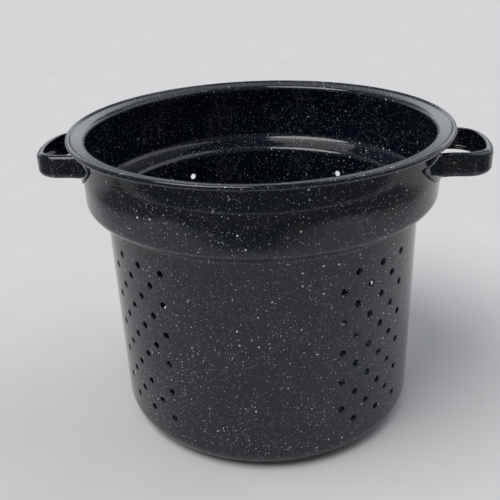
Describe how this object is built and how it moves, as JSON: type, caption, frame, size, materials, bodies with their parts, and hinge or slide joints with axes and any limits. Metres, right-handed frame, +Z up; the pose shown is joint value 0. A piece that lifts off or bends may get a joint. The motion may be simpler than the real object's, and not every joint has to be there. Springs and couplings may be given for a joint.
{
  "type": "stock pot strainer basket",
  "caption": "Perforated straining basket with a stepped collar, rolled rim and two strap handles, for hanging inside a stock pot.",
  "frame": {"origin": "centre of the underside of the base, on the surface that the basket stands on", "axes": "+Z up through the mouth; +X through the middle of handle_right, so the handles lie on the X axis; the front is -Y"},
  "size_m": [0.3232, 0.27, 0.219],
  "materials": {
    "shell_enamel": "glossy black porcelain enamel on steel, with small white speckles",
    "handle_enamel": "glossy black porcelain enamel on steel strap, with sparse white speckles"
  },
  "bodies": {
    "root": {"basket_shell": "shell_enamel", "handle_right": "handle_enamel", "handle_left": "handle_enamel"}
  },
  "joints": []
}
